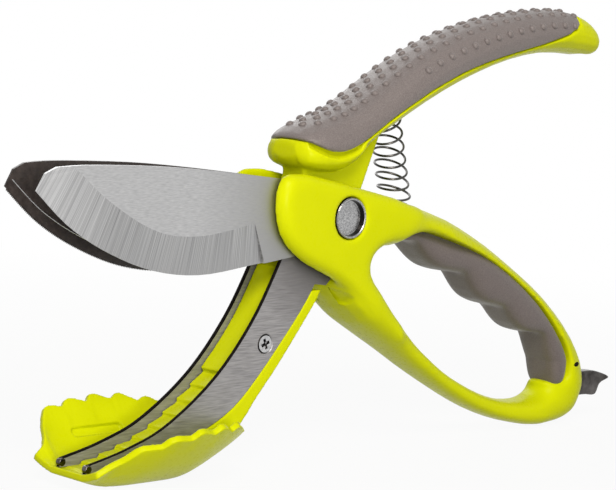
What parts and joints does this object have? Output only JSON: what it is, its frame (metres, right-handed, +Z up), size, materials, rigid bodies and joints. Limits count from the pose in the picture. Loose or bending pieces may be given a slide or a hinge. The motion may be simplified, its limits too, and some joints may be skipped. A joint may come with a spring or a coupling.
{
  "type": "salad scissors",
  "caption": "Hand scissors for salad: a pair of blades in a finger-loop handle closes past a curved jaw that ends in a toothed spoon, opened by a coil spring.",
  "frame": {"origin": "middle of the bounding box in X and Y, on the surface the spoon's flat foot rests on, with the scissors open", "axes": "+X from the blade tips towards the handles, +Y from the near blade to the far blade along the pivot, +Z up"},
  "size_m": [0.2774, 0.0558, 0.1506],
  "materials": {
    "lime_plastic": "satin moulded",
    "grip_rubber": "soft, matt",
    "blade_steel": "brushed",
    "coated_steel": "dark coating, satin",
    "pivot_chrome": "polished",
    "dark_chrome": "dark polished",
    "spring_wire": "dark drawn wire",
    "screw_steel": "plain"
  },
  "bodies": {
    "loop": {"loop_shell_near": "lime_plastic", "loop_shell_far": "lime_plastic", "finger_grip": "grip_rubber", "blade_near": "blade_steel", "blade_far": "coated_steel", "blade_pin_near": "screw_steel", "blade_pin_far": "screw_steel", "pivot_bolt": "pivot_chrome", "pivot_nut": "pivot_chrome", "lock_pin": "screw_steel", "shell_screw_1": "screw_steel", "shell_screw_2": "screw_steel", "shell_screw_3": "screw_steel", "return_spring": "spring_wire"},
    "jaw": {"upper_handle": "lime_plastic", "upper_grip": "grip_rubber", "jaw_spoon": "lime_plastic", "rail_near": "blade_steel", "rail_far": "blade_steel", "rail_screw_near_front": "screw_steel", "rail_screw_far_front": "screw_steel", "rail_screw_near_rear": "screw_steel", "rail_screw_far_rear": "screw_steel", "pivot_bush": "screw_steel"},
    "lock": {"lock_lever": "dark_chrome"}
  },
  "joints": [
    {"name": "jaw_hinge", "type": "hinge", "parent": "loop", "child": "jaw", "pos_m": [-0.01617, 0.00021, 0.0798], "axis": [0, 1, 0], "range_deg": [0, 39], "stiffness_Nm_per_rad": 0.35, "springref_deg": -34.38, "deforming": ["return_spring"]},
    {"name": "lock_swing", "type": "hinge", "parent": "loop", "child": "lock", "pos_m": [0.11333, 0.00021, 0.0132], "axis": [0, 1, 0], "range_deg": [-80, 0]}
  ]
}
